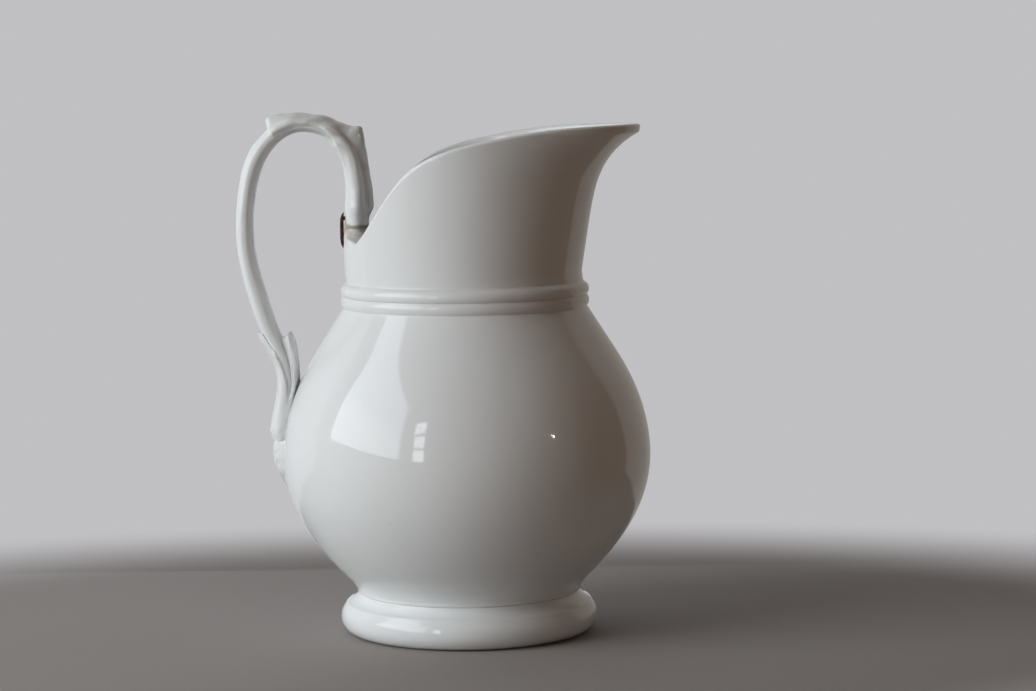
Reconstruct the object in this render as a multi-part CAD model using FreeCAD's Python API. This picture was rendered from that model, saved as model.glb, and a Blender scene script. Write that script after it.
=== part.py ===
import FreeCAD, Part
import math
import os

# Porcelain jug with a spreading foot, a globular belly, a helmet-shaped neck and a high scroll handle.
# Millimetres. +Z is up, +X points to the pouring lip and -X to the handle.
# The origin is the centre of the circle on which the foot stands.

Vector = FreeCAD.Vector
UP = Vector(0, 0, 1)

# ---- Foot ----
FOOT_HEIGHT = 16.8
FOOT_RADIUS = 53.1
FOOT_EDGE_HEIGHT = 6.2
FOOT_TOP_RADIUS = 45.4
REST_OUTER_RADIUS = 47.0
REST_INNER_RADIUS = 41.5
HOLLOW_RADIUS = 38.5
SEAT_RADIUS = 42.5
SEAT_DEPTH = 1.5

# ---- Belly ----
BEAD_RADIUS = 46.3
BEAD_HEIGHT = 1.5
BAND_TOP_RADIUS = 49.6
BAND_TOP = 22.8
BELLY_RADIUS = 75.6
BELLY_WIDEST = 72.0
WALL = 4.0
FLOOR_THICKNESS = 4.5
RING_CREASE_RADIUS = 50.2
RING_RADIUS = 51.05
LOWER_RING_BOTTOM = 134.3
SEAM = 139.1
MOUTH_RADIUS = 45.4
REBATE_RADIUS = 48.4
REBATE_DEPTH = 2.2

# ---- Neck and pouring lip ----
UPPER_RING_TOP = 143.7
NECK_BASE = 144.7
NECK_RADIUS = 48.7
NECK_OFFSET = -0.5
NECK_FLARE = 1.4
LIP_START = 149.0
LIP_TOP = 208.8
LIP_LEAN = 8.0
LIP_CURL = 15.2
LIP_CURL_TOP = 205.0
LIP_SHARPNESS = 6
LIP_BREADTH = 7
LIP_SWELL = 1.4
NECK_WALL = 3.2
SECTION_POINTS = 24

# ---- Handle ----
STEM_X = -44.0
STEM_THICKNESS = 10.0
STEM_WIDTH = 17.0
BREAK_BOTTOM = 167.0
BREAK_GAP = 1.4
ROOT_BOTTOM = 155.5
ROOT_FLARE_HALF_WIDTH = 25.0
LEAF_TIP_HALF_WIDTH = 4.0

# ---- Repair staple ----
STAPLE_LOW = 158.6
STAPLE_HIGH = 173.4
STAPLE_HALF_WIDTH = 1.4
STAPLE_INNER_X = -48.9
STAPLE_THICKNESS = 2.0
STAPLE_TAPER = 3.0
LEG_RADIUS = 0.8
LEG_DEPTH = 2.8
LEG_INSET = 2.2


def at(point):
    """Place a (radius or x, height) pair in the XZ plane."""
    return Vector(point[0], 0, point[1])


def line(start, end):
    return Part.LineSegment(at(start), at(end)).toShape()


def arc(start, middle, end):
    return Part.Arc(at(start), at(middle), at(end)).toShape()


def curve(points):
    spline = Part.BSplineCurve()
    spline.interpolate([at(point) for point in points])
    return spline.toShape()


def polyline(points):
    return [line(start, end) for start, end in zip(points, points[1:])]


def turned(edges):
    """Revolve a closed outline about the jug's axis."""
    return Part.Face(Part.Wire(edges)).revolve(Vector(0, 0, 0), UP, 360)


def inset(points, distance):
    """Move an outline towards the axis by a distance measured square to it."""
    moved = []
    last = len(points) - 1
    for index, (radius, height) in enumerate(points):
        before = points[max(index - 1, 0)]
        after = points[min(index + 1, last)]
        rise = after[1] - before[1]
        run = after[0] - before[0]
        length = math.hypot(rise, run)
        moved.append((radius - distance * rise / length, height + distance * run / length))
    return moved


# Outer line of the bowl, from the top of the band to the crease below the lower ring.
BELLY_LINE = [
    (BAND_TOP_RADIUS, BAND_TOP),
    (57.5, 31.1),
    (67.1, 44.2),
    (73.3, 58.0),
    (BELLY_RADIUS, BELLY_WIDEST),
    (73.6, 89.2),
    (67.7, 105.5),
    (57.8, 122.3),
    (RING_CREASE_RADIUS, LOWER_RING_BOTTOM),
]

# Side view of the rim, from its low point at the handle to the tip of the lip.
RIM_LINE = [
    (-54.0, 153.9),
    (-44.0, 161.2),
    (-37.0, 170.7),
    (-31.0, 180.0),
    (-25.0, 187.7),
    (-17.5, 194.0),
    (-9.0, 198.2),
    (5.0, 202.2),
    (17.0, 204.5),
    (30.0, 206.5),
    (45.0, 207.8),
    (80.0, LIP_TOP),
]


def foot():
    """Spreading pedestal, open underneath, with a thick rounded edge."""
    rest_outer = (REST_OUTER_RADIUS, 0)
    edge = (FOOT_RADIUS, FOOT_EDGE_HEIGHT)
    edge_top = (52.0, 10.4)
    shoulder = (50.6, 12.6)
    top = (FOOT_TOP_RADIUS, FOOT_HEIGHT)
    inside = polyline([
        top,
        (SEAT_RADIUS, FOOT_HEIGHT),
        (SEAT_RADIUS, FOOT_HEIGHT - SEAT_DEPTH),
        (HOLLOW_RADIUS, FOOT_HEIGHT - SEAT_DEPTH),
        (HOLLOW_RADIUS + 0.8, FOOT_EDGE_HEIGHT),
        (REST_INNER_RADIUS, 0),
        rest_outer,
    ])
    outside = [
        arc(rest_outer, (51.4, 2.0), edge),
        arc(edge, (52.8, 8.6), edge_top),
        line(edge_top, shoulder),
        arc(shoulder, (48.8, 14.9), top),
    ]
    return turned(outside + inside)


def belly_outside():
    """Outer edges of the belly, from the foot joint up to the seam with the neck."""
    joint = (FOOT_TOP_RADIUS, FOOT_HEIGHT)
    bead = (BEAD_RADIUS, FOOT_HEIGHT + BEAD_HEIGHT / 2)
    bead_top = (BEAD_RADIUS, FOOT_HEIGHT + BEAD_HEIGHT)
    band = (47.6, 20.3)
    ring = (RING_RADIUS, (LOWER_RING_BOTTOM + SEAM) / 2)
    return [
        arc(joint, bead, bead_top),
        arc(bead_top, band, BELLY_LINE[0]),
        curve(BELLY_LINE),
        arc(BELLY_LINE[-1], ring, (RING_CREASE_RADIUS, SEAM)),
    ]


def belly():
    """Bowl with its floor, a spigot down into the foot and a rebated mouth."""
    inner_line = inset(BELLY_LINE, WALL)[1:-1]
    floor = FOOT_HEIGHT + FLOOR_THICKNESS
    inner_line = [(HOLLOW_RADIUS, floor)] + inner_line + [(MOUTH_RADIUS, LOWER_RING_BOTTOM)]
    mouth = polyline([
        (RING_CREASE_RADIUS, SEAM),
        (REBATE_RADIUS, SEAM),
        (REBATE_RADIUS, SEAM - REBATE_DEPTH),
        (MOUTH_RADIUS, SEAM - REBATE_DEPTH),
        (MOUTH_RADIUS, LOWER_RING_BOTTOM),
    ])
    bottom = polyline([
        (HOLLOW_RADIUS, floor),
        (0, floor),
        (0, FOOT_HEIGHT),
        (HOLLOW_RADIUS, FOOT_HEIGHT),
        (HOLLOW_RADIUS, FOOT_HEIGHT - SEAT_DEPTH),
        (SEAT_RADIUS, FOOT_HEIGHT - SEAT_DEPTH),
        (SEAT_RADIUS, FOOT_HEIGHT),
        (FOOT_TOP_RADIUS, FOOT_HEIGHT),
    ])
    return turned(belly_outside() + mouth + [curve(inner_line)] + bottom)


def belly_block():
    """The belly without its hollow, for fitting the handle's saddle faces."""
    return turned(belly_outside() + polyline([
        (RING_CREASE_RADIUS, SEAM),
        (0, SEAM),
        (0, FOOT_HEIGHT),
        (FOOT_TOP_RADIUS, FOOT_HEIGHT),
    ]))


def neck_section(height, wall):
    """Closed level outline of the neck, round at the back and drawn out to the lip in front."""
    rise = max(height - LIP_START, 0) / (LIP_TOP - LIP_START)
    curl = min(max(height - LIP_START, 0) / (LIP_CURL_TOP - LIP_START), 1)
    radius = NECK_RADIUS + NECK_FLARE * rise - wall
    reach = LIP_LEAN * rise + (LIP_CURL - LIP_SWELL * wall / NECK_WALL) * curl ** LIP_SHARPNESS
    points = []
    for step in range(SECTION_POINTS):
        angle = 2 * math.pi * step / SECTION_POINTS
        lobe = ((1 + math.cos(angle)) / 2) ** LIP_BREADTH
        distance = radius + reach * lobe
        points.append(Vector(NECK_OFFSET + distance * math.cos(angle), distance * math.sin(angle), height))
    outline = Part.BSplineCurve()
    outline.interpolate(points, PeriodicFlag=True)
    return Part.Wire([outline.toShape()])


def neck_loft(heights, wall):
    return Part.makeLoft([neck_section(height, wall) for height in heights], True)


def neck():
    """Helmet-shaped neck with the upper ring, a spigot below and the sloping rim above."""
    base = turned(polyline([
        (0, SEAM - REBATE_DEPTH),
        (REBATE_RADIUS, SEAM - REBATE_DEPTH),
        (REBATE_RADIUS, SEAM),
        (RING_CREASE_RADIUS, SEAM),
    ]) + [
        arc((RING_CREASE_RADIUS, SEAM), (RING_RADIUS, 141.4), (RING_CREASE_RADIUS - 0.2, UPPER_RING_TOP)),
    ] + polyline([
        (RING_CREASE_RADIUS - 0.2, UPPER_RING_TOP),
        (NECK_RADIUS, NECK_BASE),
        (0, NECK_BASE),
        (0, SEAM - REBATE_DEPTH),
    ]))
    outer_heights = [142.5, 152.0, 164.0, 175.0, 184.0, 191.0, 197.0, 201.0, LIP_CURL_TOP, 210.0]
    inner_heights = [SEAM - REBATE_DEPTH - 1.0] + outer_heights[1:-1] + [211.0]
    outer = neck_loft(outer_heights, 0)
    inner = neck_loft(inner_heights, NECK_WALL)
    above = polyline([RIM_LINE[-1], (80.0, 230.0), (-54.0, 230.0), RIM_LINE[0]])
    rim_face = Part.Face(Part.Wire([curve(RIM_LINE)] + above))
    rim_face.translate(Vector(0, -100, 0))
    rim_cutter = rim_face.extrude(Vector(0, 200, 0))
    return base.fuse(outer).cut(inner).cut(rim_cutter).removeSplitter()


def oval(x, height, across, thickness, width):
    """Oval section centred in the XZ plane, square to the direction `across`."""
    tangent = Vector(across.x, 0, across.z).normalize()
    side = Vector(0, 1, 0)
    shape = Part.Ellipse(Vector(0, 0, 0), width / 2, thickness / 2).toShape()
    turn = FreeCAD.Rotation(side, tangent.cross(side), tangent, "ZXY")
    shape.Placement = FreeCAD.Placement(Vector(x, 0, height), turn)
    return Part.Wire([shape])


def swept(stations):
    """Solid through ovals given as (x, height, thickness, width), each square to the path."""
    path = Part.BSplineCurve()
    centres = [Vector(x, 0, height) for x, height, thickness, width in stations]
    path.interpolate(centres)
    sections = []
    for centre, (x, height, thickness, width) in zip(centres, stations):
        direction = path.tangent(path.parameter(centre))[0]
        sections.append(oval(x, height, direction, thickness, width))
    return Part.makeLoft(sections, True)


def prism(points, half_width):
    """Side outline given in the XZ plane, made into a block across the handle."""
    face = Part.Face(Part.Wire(polyline(points + points[:1])))
    face.translate(Vector(0, -half_width, 0))
    return face.extrude(Vector(0, 2 * half_width, 0))


def stem_block(bottom, top):
    """Upright oval block on the line of the handle's stem."""
    return Part.Face(oval(STEM_X, bottom, UP, STEM_THICKNESS, STEM_WIDTH)).extrude(UP * (top - bottom))


def rim_saddle():
    """Fairing that spreads from the stump both ways along the rim, a little thinner than the wall."""
    outer_radius = NECK_RADIUS + 0.1
    inner_radius = outer_radius - NECK_WALL + 0.4
    back_half = [
        (-ROOT_FLARE_HALF_WIDTH, 158.0),
        (-ROOT_FLARE_HALF_WIDTH, 164.2),
        (-17.0, 162.3),
        (-11.0, 163.4),
        (-STEM_WIDTH / 2, BREAK_BOTTOM - 1.0),
    ]
    outline = back_half + [(-across, height) for across, height in reversed(back_half)]
    corners = [Vector(-54.0, across, height) for across, height in outline]
    block = Part.Face(Part.makePolygon(corners + corners[:1])).extrude(Vector(16.0, 0, 0))
    centre = Vector(NECK_OFFSET, 0, 150.0)
    wall = Part.makeCylinder(outer_radius, 20.0, centre).cut(Part.makeCylinder(inner_radius, 20.0, centre))
    return block.common(wall)


def handle_root(neck_solid):
    """Stump of the handle that stayed on the rim below the old break."""
    side = prism([
        (-50.0, 157.3),
        (-50.0, BREAK_BOTTOM),
        (-38.0, BREAK_BOTTOM),
        (-39.4, 163.5),
        (-42.2, 160.9),
        (-46.0, 157.9),
    ], STEM_WIDTH)
    stump = stem_block(ROOT_BOTTOM, BREAK_BOTTOM).common(side)
    return stump.fuse(rim_saddle()).cut(neck_solid).removeSplitter()


def repair_cement():
    """Layer of old cement that fills the break."""
    return stem_block(BREAK_BOTTOM, BREAK_BOTTOM + BREAK_GAP)


def whole_strap():
    """The scroll handle's strap, from the break over the arch and down to the belly."""
    break_top = BREAK_BOTTOM + BREAK_GAP
    return swept([
        (STEM_X, break_top, STEM_THICKNESS, STEM_WIDTH),
        (STEM_X, 172.5, 9.2, 15.5),
        (-43.9, 181.5, 7.8, 14.0),
        (-44.8, 190.5, 7.0, 13.5),
        (-47.4, 199.0, 6.4, 13.5),
        (-53.0, 205.5, 6.2, 13.5),
        (-60.5, 208.9, 6.2, 13.5),
        (-68.5, 209.3, 6.4, 13.5),
        (-78.5, 204.1, 7.2, 14.0),
        (-84.9, 195.5, 7.8, 14.0),
        (-88.6, 182.5, 7.4, 14.0),
        (-89.9, 167.5, 7.3, 14.0),
        (-88.6, 153.3, 7.4, 14.0),
        (-84.5, 137.5, 7.8, 14.0),
        (-80.6, 126.0, 7.4, 14.0),
        (-75.8, 115.0, 6.8, 14.0),
        (-73.5, 105.5, 6.6, 14.0),
        (-74.2, 96.5, 7.0, 14.0),
        (-75.6, 87.5, 8.2, 14.0),
        (-76.0, 80.5, 8.4, 14.0),
    ])


def upper_leaf(strap):
    """Acanthus sheath over the arch and the stem, with a curled tip at each shoulder."""
    sheath = swept([
        (-43.1, 171.7, 12.6, 18.5),
        (-43.2, 180.5, 12.2, 18.5),
        (-44.0, 190.5, 10.8, 18.0),
        (-46.9, 199.1, 10.4, 18.0),
        (-52.8, 205.7, 9.2, 17.0),
        (-60.5, 209.2, 8.6, 16.5),
        (-68.5, 209.5, 8.4, 16.5),
        (-78.6, 204.3, 10.6, 17.0),
    ])
    outer_tip = prism([(-84.4, 204.7), (-79.8, 213.7), (-68.0, 213.4), (-76.0, 204.5)], LEAF_TIP_HALF_WIDTH)
    front_tip = prism([(-54.0, 209.0), (-40.8, 208.4), (-39.4, 200.5), (-46.0, 199.5)], LEAF_TIP_HALF_WIDTH)
    return sheath.fuse(outer_tip).fuse(front_tip).cut(strap)


def lower_leaf(strap, belly_solid):
    """Acanthus sheath on the strap's lower end, with two side tips above and the collar below."""
    sheath = swept([
        (-79.0, 122.1, 10.0, 17.0),
        (-75.2, 114.1, 10.2, 17.5),
        (-73.6, 105.5, 9.8, 17.5),
        (-74.4, 96.5, 10.0, 17.0),
        (-76.0, 87.5, 10.0, 16.5),
        (-76.6, 80.9, 9.6, 16.5),
    ])
    back_tip = prism([(-84.7, 122.7), (-83.0, 123.1), (-77.0, 117.5), (-78.8, 111.5)], LEAF_TIP_HALF_WIDTH)
    front_tip = prism([(-73.2, 125.5), (-70.4, 123.3), (-69.3, 114.5), (-75.0, 114.5)], LEAF_TIP_HALF_WIDTH)
    return sheath.fuse(back_tip).fuse(front_tip).cut(strap).cut(belly_solid)


def tail_leaf(belly_solid):
    """Pointed leaf lying on the belly below the collar."""
    blade = swept([
        (-75.0, 80.5, 9.4, 15.0),
        (-75.4, 72.5, 9.6, 15.5),
        (-74.9, 66.5, 8.8, 13.0),
        (-73.7, 61.5, 5.6, 8.0),
        (-72.9, 58.1, 1.6, 3.0),
    ])
    return blade.cut(belly_solid)


def repair_staple():
    """Iron staple with a straight back, tapered ends and two round legs."""
    outer_x = STAPLE_INNER_X - STAPLE_THICKNESS
    back = prism([
        (STAPLE_INNER_X, STAPLE_LOW),
        (outer_x, STAPLE_LOW + STAPLE_TAPER),
        (outer_x, STAPLE_HIGH - STAPLE_TAPER),
        (STAPLE_INNER_X, STAPLE_HIGH),
    ], STAPLE_HALF_WIDTH)
    for height in (STAPLE_LOW + LEG_INSET, STAPLE_HIGH - LEG_INSET):
        start = Vector(STAPLE_INNER_X, 0, height)
        back = back.fuse(Part.makeCylinder(LEG_RADIUS, LEG_DEPTH, start, Vector(1, 0, 0)))
    return back.removeSplitter()


def build():
    """Make every piece, fit it to its neighbours and return the pieces by name."""
    staple = repair_staple()
    bowl_block = belly_block()
    neck_solid = neck()
    strap = whole_strap()
    return {
        "foot": foot(),
        "belly": belly(),
        "neck": neck_solid.cut(staple),
        "handle_root": handle_root(neck_solid).cut(staple),
        "handle_strap": strap.cut(bowl_block).cut(staple),
        "handle_upper_leaf": upper_leaf(strap).cut(staple),
        "handle_lower_leaf": lower_leaf(strap, bowl_block),
        "handle_tail_leaf": tail_leaf(bowl_block),
        "repair_cement": repair_cement().cut(staple),
        "repair_staple": staple,
    }


os.makedirs("parts", exist_ok=True)
for name, shape in build().items():
    print(name, "solids", len(shape.Solids), "volume", round(shape.Volume), "valid", shape.isValid())
    shape.exportStep("parts/" + name + ".step")
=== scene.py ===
import math

import bmesh
import bpy
import numpy as np
from mathutils import Matrix, Vector, noise


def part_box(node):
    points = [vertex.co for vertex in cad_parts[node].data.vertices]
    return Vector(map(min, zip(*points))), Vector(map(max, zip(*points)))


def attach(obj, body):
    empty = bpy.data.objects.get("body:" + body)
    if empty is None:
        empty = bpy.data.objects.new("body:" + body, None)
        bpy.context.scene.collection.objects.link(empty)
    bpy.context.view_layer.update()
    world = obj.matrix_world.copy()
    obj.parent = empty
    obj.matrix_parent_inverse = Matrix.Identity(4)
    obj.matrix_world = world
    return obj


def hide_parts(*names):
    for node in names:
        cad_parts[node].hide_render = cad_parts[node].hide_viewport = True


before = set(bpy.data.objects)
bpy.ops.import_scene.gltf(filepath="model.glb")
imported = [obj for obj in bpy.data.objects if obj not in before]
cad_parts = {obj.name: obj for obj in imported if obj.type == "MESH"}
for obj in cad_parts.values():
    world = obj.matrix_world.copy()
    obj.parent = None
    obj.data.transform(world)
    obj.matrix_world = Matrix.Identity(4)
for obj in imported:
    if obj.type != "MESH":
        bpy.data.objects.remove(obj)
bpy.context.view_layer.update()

# The jug's lengths are in millimetres in the CAD frame; MM turns them into Blender's metres.
MM = 0.001
TURN_SEGMENTS = 224
GLAZE_ROUNDING = 0.6
FOOT_ROUNDING = 0.8

FOOT_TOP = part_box("foot")[1].z / MM
FOOT_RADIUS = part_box("foot")[1].x / MM
FOOT_EDGE_HEIGHT = 6.2
FOOT_RING_RADIUS = 44.5
FOOT_CREASE_RADIUS = 45.4
SEAT_RADIUS = 42.5
SEAT_DEPTH = 1.5
HOLLOW_RADIUS = 38.5
FLOOR_LEVEL = FOOT_TOP + 4.5
BEAD_RADIUS = 46.3
BEAD_HEIGHT = 1.5

# Outside of the bowl, from above the bead to below the lower neck ring: radius and height.
BELLY_LINE = [
    (49.6, 22.8),
    (57.5, 31.1),
    (67.1, 44.2),
    (73.3, 58.0),
    (75.6, 72.0),
    (73.6, 89.2),
    (67.7, 105.5),
    (57.8, 122.3),
    (50.2, 134.3),
]
BELLY_WALL = 4.0
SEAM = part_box("belly")[1].z / MM
RING_CREASE_RADIUS = 50.2
RING_RADIUS = 51.05
MOUTH_RADIUS = 45.4
REBATE_RADIUS = 48.4
REBATE_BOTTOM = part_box("neck")[0].z / MM

NECK_BASE = 144.7
NECK_RADIUS = 48.7
NECK_WALL = 3.2
NECK_OFFSET = -0.5
NECK_FLARE = 1.4
LIP_START = 149.0
LIP_TOP = 208.8
LIP_REACH = 8.0
LIP_CURL = 15.2
LIP_CURL_TOP = 205.0
LIP_CURL_POWER = 6
LIP_THINNING = 1.4
LIP_NARROWNESS = 7
# Rim seen from the side, from the handle to the lip: x and height.
RIM_LINE = [
    (-54.0, 153.9),
    (-44.0, 161.2),
    (-37.0, 170.7),
    (-31.0, 180.0),
    (-25.0, 187.7),
    (-17.5, 194.0),
    (-9.0, 198.2),
    (5.0, 202.2),
    (17.0, 204.5),
    (30.0, 206.5),
    (45.0, 207.8),
    (80.0, LIP_TOP),
]
RIM_ROUNDING = 1.5
RIM_LIFT = 0.3

BREAK_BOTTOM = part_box("repair_cement")[0].z / MM
BREAK_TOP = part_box("repair_cement")[1].z / MM
STEM_X = -44.0
STEM_THICKNESS = 10.0
STEM_WIDTH = 17.0

# Handle strap: x, height, thickness and width, from the break over the arch and down to the belly.
STRAP = [
    (STEM_X, BREAK_TOP, STEM_THICKNESS, STEM_WIDTH),
    (STEM_X, 172.5, 9.2, 15.5),
    (-43.9, 181.5, 7.8, 14.0),
    (-44.8, 190.5, 7.0, 13.5),
    (-47.4, 199.0, 6.4, 13.5),
    (-53.0, 205.5, 6.2, 13.5),
    (-60.5, 208.9, 6.2, 13.5),
    (-68.5, 209.3, 6.4, 13.5),
    (-78.5, 204.1, 7.2, 14.0),
    (-84.9, 195.5, 7.8, 14.0),
    (-88.6, 182.5, 7.4, 14.0),
    (-89.9, 167.5, 7.3, 14.0),
    (-88.6, 153.3, 7.4, 14.0),
    (-84.5, 137.5, 7.8, 14.0),
    (-80.6, 126.0, 7.4, 14.0),
    (-75.8, 115.0, 6.8, 14.0),
    (-73.5, 105.5, 6.6, 14.0),
    (-74.2, 96.5, 7.0, 14.0),
    (-75.6, 87.5, 8.2, 14.0),
    (-76.0, 80.5, 8.4, 14.0),
]


# ---- Lines and meshes ----

def smooth_line(points, step):
    """Rows about `step` apart on a cubic curve through the given rows."""
    known = np.array(points, float)
    chord = np.concatenate([[0.0], np.cumsum(np.hypot(*np.diff(known[:, :2], axis=0).T))])
    gap = np.diff(chord)
    system = np.eye(len(chord))
    right = np.zeros_like(known)
    for i in range(1, len(chord) - 1):
        system[i, i - 1:i + 2] = gap[i - 1], 2 * (gap[i - 1] + gap[i]), gap[i]
        right[i] = 6 * ((known[i + 1] - known[i]) / gap[i] - (known[i] - known[i - 1]) / gap[i - 1])
    bend = np.linalg.solve(system, right)
    place = np.linspace(0, chord[-1], max(int(chord[-1] / step), 2) + 1)
    i = np.clip(np.searchsorted(chord, place, side="right") - 1, 0, len(gap) - 1)
    h = gap[i][:, None]
    before = (chord[i + 1] - place)[:, None]
    after = (place - chord[i])[:, None]
    return (bend[i] * before ** 3 / (6 * h) + bend[i + 1] * after ** 3 / (6 * h)
            + (known[i] / h - bend[i] * h / 6) * before
            + (known[i + 1] / h - bend[i + 1] * h / 6) * after)


def arc_line(start, middle, end, count=24):
    """Points on the circle through three points."""
    a, b, c = (complex(*point) for point in (start, middle, end))
    w = (c - a) / (b - a)
    centre = (b - a) * (w - abs(w) ** 2) / (2j * w.imag) + a
    first = np.angle(a - centre)
    sweep = np.angle((c - centre) / (a - centre))
    through = np.angle((b - centre) / (a - centre))
    if sweep * through < 0 or abs(through) > abs(sweep):
        sweep -= math.copysign(2 * math.pi, sweep)
    angles = first + sweep * np.linspace(0, 1, count)
    points = centre + abs(a - centre) * np.exp(1j * angles)
    return np.column_stack([points.real, points.imag])


def straight(points, step=0.4):
    """Points along straight runs."""
    rows = [np.array(points[:1], float)]
    for start, end in zip(points, points[1:]):
        count = max(int(math.dist(start, end) / step), 1)
        rows.append(np.linspace(start, end, count + 1)[1:])
    return np.vstack(rows)


def joined(*runs):
    """Runs that follow each other, with their shared ends kept once."""
    return np.vstack([runs[0]] + [run[1:] for run in runs[1:]])


def respaced(line, count):
    """The same line with `count` evenly spaced points."""
    length = np.concatenate([[0.0], np.cumsum(np.linalg.norm(np.diff(line, axis=0), axis=1))])
    place = np.linspace(0, length[-1], count)
    return np.column_stack([np.interp(place, length, column) for column in line.T])


def softened(line, distance, step=0.12):
    """Round a line's corners as glaze does, with its two ends kept."""
    length = np.linalg.norm(np.diff(line, axis=0), axis=1).sum()
    fine = respaced(line, int(length / step) + 1)
    reach = max(int(distance / step), 1)
    kernel = np.hanning(2 * reach + 3)[1:-1]
    kernel /= kernel.sum()
    padded = np.vstack([2 * fine[0] - fine[reach:0:-1], fine, 2 * fine[-1] - fine[-2:-reach - 2:-1]])
    return np.column_stack([np.convolve(column, kernel, "valid") for column in padded.T])


def smoothed(values, reach):
    """Each value averaged with its neighbours up to `reach` away, with the end values held."""
    kernel = np.hanning(2 * reach + 1)
    kernel /= kernel.sum()
    return np.convolve(np.pad(values, reach, mode="edge"), kernel, "valid")


def looked_up(place, table):
    """Value at each place from a table of (place, value) rows, straight between the rows."""
    return np.interp(place, *np.array(table).T)


def rise(value, low, high):
    """0 below low, 1 above high, smooth between."""
    t = np.clip((value - low) / (high - low), 0, 1)
    return t * t * (3 - 2 * t)


def bump(value, centre, width):
    """1 at centre, falling smoothly to 0 at `width` from it."""
    return 1 - rise(np.abs(value - centre), 0, width)


def grid_object(name, points, close_rows=False, caps=False, layers=None, sharp=35):
    """Mesh over an array of rows of points (millimetres). Each row closes on itself."""
    rows, columns = points.shape[:2]
    mesh = bpy.data.meshes.new(name)
    last = rows if close_rows else rows - 1
    faces = []
    for i in range(last):
        for j in range(columns):
            k = (j + 1) % columns
            n = (i + 1) % rows
            faces.append((i * columns + j, i * columns + k, n * columns + k, n * columns + j))
    if caps:
        faces.append(tuple(range(columns - 1, -1, -1)))
        faces.append(tuple((rows - 1) * columns + j for j in range(columns)))
    mesh.from_pydata((points.reshape(-1, 3) * MM).tolist(), [], faces)
    for layer, values in (layers or {}).items():
        attribute = mesh.attributes.new(layer, "FLOAT", "POINT")
        flat = np.broadcast_to(values, points.shape[:2]).astype(np.float32).reshape(-1)
        attribute.data.foreach_set("value", flat)
    tidy = bmesh.new()
    tidy.from_mesh(mesh)
    bmesh.ops.remove_doubles(tidy, verts=tidy.verts, dist=1e-7)
    bmesh.ops.recalc_face_normals(tidy, faces=tidy.faces)
    tidy.to_mesh(mesh)
    tidy.free()
    mesh.shade_smooth()
    mesh.set_sharp_from_angle(angle=math.radians(sharp))
    piece = bpy.data.objects.new(name, mesh)
    bpy.context.scene.collection.objects.link(piece)
    return piece


def turned(name, outline, close=True, layers=None):
    """Outline of (radius, height) revolved about the jug's axis."""
    angle = np.linspace(0, 2 * math.pi, TURN_SEGMENTS, endpoint=False)
    radius = outline[:, 0][:, None]
    height = np.repeat(outline[:, 1][:, None], TURN_SEGMENTS, axis=1)
    points = np.stack([radius * np.cos(angle), radius * np.sin(angle), height], axis=2)
    columns = {key: values[:, None] for key, values in (layers or {}).items()}
    return grid_object(name, points, close_rows=close, layers=columns)


def crease_dirt_and_shade(heights, creases, width):
    """Darkening in narrow grooves at the given heights: painted shade, with some grime."""
    dirt_and_shade = np.zeros_like(heights)
    for level, strength in creases:
        dirt_and_shade = np.maximum(dirt_and_shade, strength * bump(heights, level, width))
    return dirt_and_shade


RIM_FINE = smooth_line(RIM_LINE, 0.5)
BOWL_FINE = smooth_line(BELLY_LINE, 0.5)


# ---- Foot, bowl and neck ----

def foot_piece():
    """Spreading foot with a rounded edge, a cove up to the bowl and a hollow underneath."""
    ring_middle = (FOOT_RING_RADIUS, 0.0)
    ring_outside = (46.4, 0.0)
    edge = (FOOT_RADIUS, FOOT_EDGE_HEIGHT)
    edge_top = (52.0, 10.4)
    shoulder = (50.6, 12.6)
    cove_top = (45.7, FOOT_TOP - 0.2)
    crease = (FOOT_CREASE_RADIUS, FOOT_TOP)
    seat_corner = (SEAT_RADIUS, FOOT_TOP - SEAT_DEPTH)
    outside = softened(joined(
        straight([ring_middle, ring_outside]),
        arc_line(ring_outside, (51.3, 2.0), edge),
        arc_line(edge, (52.8, 8.6), edge_top),
        straight([edge_top, shoulder]),
        arc_line(shoulder, (47.5, 14.3), cove_top),
        straight([cove_top, crease]),
    ), FOOT_ROUNDING)
    inside = softened(straight([
        seat_corner,
        (HOLLOW_RADIUS, FOOT_TOP - SEAT_DEPTH),
        (39.3, 6.2),
        (41.7, 0.0),
        ring_middle,
    ]), FOOT_ROUNDING)
    seat = straight([crease, (SEAT_RADIUS, FOOT_TOP), seat_corner])
    outline = joined(outside, seat, inside)[:-1]
    # Painted shade, with some grime, in the crease at the top of the foot.
    dirt_and_shade = crease_dirt_and_shade(outline[:, 1], [(FOOT_TOP, 0.03)], 0.8)
    # The hollow underneath is darker all over.
    underneath = (outline[:, 0] < 42) & (outline[:, 1] < 14)
    dirt_and_shade = np.where(underneath, 0.25, dirt_and_shade)
    bare = (1 - rise(outline[:, 1], 0.35, 1.0)) * (outline[:, 0] > 40)
    return turned("foot_ring_body", outline, layers={"grime_and_shade": dirt_and_shade, "bare": bare})


def belly_outline():
    """Outside of the bowl, from the foot's crease over the bead to the crease between the rings."""
    bead_top = (BEAD_RADIUS, FOOT_TOP + BEAD_HEIGHT)
    ring_start = BELLY_LINE[-1]
    ring_middle = (RING_RADIUS, (ring_start[1] + SEAM) / 2)
    lower = joined(
        arc_line((FOOT_CREASE_RADIUS, FOOT_TOP), (BEAD_RADIUS, FOOT_TOP + BEAD_HEIGHT / 2), bead_top),
        arc_line(bead_top, (47.6, 20.3), BELLY_LINE[0]),
        smooth_line(BELLY_LINE, 0.5),
        arc_line(ring_start, ring_middle, (RING_CREASE_RADIUS, SEAM)),
    )
    return softened(lower, GLAZE_ROUNDING, 0.2)


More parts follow.
